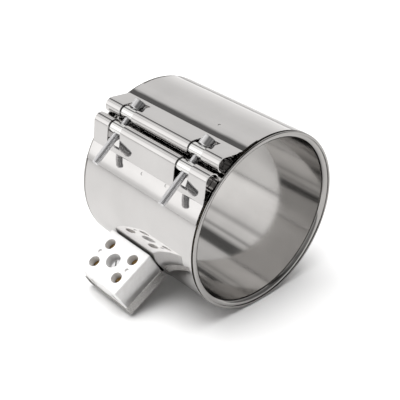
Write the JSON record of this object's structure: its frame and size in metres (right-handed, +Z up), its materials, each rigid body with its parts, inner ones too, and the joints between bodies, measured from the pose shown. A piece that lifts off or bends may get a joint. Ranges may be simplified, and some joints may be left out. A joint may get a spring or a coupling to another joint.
{
  "type": "band heater",
  "caption": "Mica band heater, 90 mm bore and 90 mm wide, with a polished steel sheath, two clamp screws across the gap and a ceramic terminal block.",
  "frame": {"origin": "on the bore axis at the middle of the band's width", "axes": "+X along the bore axis, towards the front rim; +Z up, the way the band stands on its lowest line; the clamping gap and the terminal block are on the -Y side"},
  "size_m": [0.089, 0.1186, 0.0999],
  "materials": {
    "polished_sheath": "mirror-polished stainless sheet",
    "liner_sheath": "satin stainless sheet",
    "bracket_steel": "satin",
    "barrel_steel": "bright plated",
    "zinc_screw": "bright zinc plated",
    "terminal_brass": "turned, slightly dull",
    "steatite": "unglazed, smooth",
    "mica": "pressed mica sheet",
    "ribbon_alloy": "oxidised resistance alloy",
    "lead_nickel": "satin nickel",
    "sleeve_glass": "braided glass fibre"
  },
  "bodies": {
    "band": {"outer_sheath": "polished_sheath", "inner_sheath": "liner_sheath", "inner_mica": "mica", "resistance_ribbon": "ribbon_alloy", "element_former": "mica", "outer_mica": "mica", "terminal_bracket": "bracket_steel", "ceramic_block": "steatite", "block_screw": "zinc_screw", "block_nut": "zinc_screw", "upper_barrel_front": "barrel_steel", "lower_barrel_front": "barrel_steel", "terminal_tube_front": "terminal_brass", "lead_front": "lead_nickel", "lead_sleeve_front": "sleeve_glass", "upper_barrel_rear": "barrel_steel", "lower_barrel_rear": "barrel_steel", "terminal_tube_rear": "terminal_brass", "lead_rear": "lead_nickel", "lead_sleeve_rear": "sleeve_glass"},
    "clamp_screw_front": {"clamp_screw_front": "zinc_screw"},
    "terminal_screw_front_inner": {"terminal_screw_front_inner": "terminal_brass"},
    "terminal_screw_front_outer": {"terminal_screw_front_outer": "terminal_brass"},
    "clamp_screw_rear": {"clamp_screw_rear": "zinc_screw"},
    "terminal_screw_rear_inner": {"terminal_screw_rear_inner": "terminal_brass"},
    "terminal_screw_rear_outer": {"terminal_screw_rear_outer": "terminal_brass"}
  },
  "joints": [
    {"name": "clamp_screw_front_travel", "type": "slide", "parent": "band", "child": "clamp_screw_front", "axis": [0, 0.7627, 0.6468], "range_m": [0, 0.025]},
    {"name": "terminal_screw_front_inner_travel", "type": "slide", "parent": "band", "child": "terminal_screw_front_inner", "axis": [0, -0.5024, 0.8646], "range_m": [0, 0.0036]},
    {"name": "terminal_screw_front_outer_travel", "type": "slide", "parent": "band", "child": "terminal_screw_front_outer", "axis": [0, -0.5024, 0.8646], "range_m": [-0.0004, 0.0036]},
    {"name": "clamp_screw_rear_travel", "type": "slide", "parent": "band", "child": "clamp_screw_rear", "axis": [0, 0.7627, 0.6468], "range_m": [0, 0.025]},
    {"name": "terminal_screw_rear_inner_travel", "type": "slide", "parent": "band", "child": "terminal_screw_rear_inner", "axis": [0, -0.5024, 0.8646], "range_m": [0, 0.0036]},
    {"name": "terminal_screw_rear_outer_travel", "type": "slide", "parent": "band", "child": "terminal_screw_rear_outer", "axis": [0, -0.5024, 0.8646], "range_m": [-0.0004, 0.0036]}
  ]
}
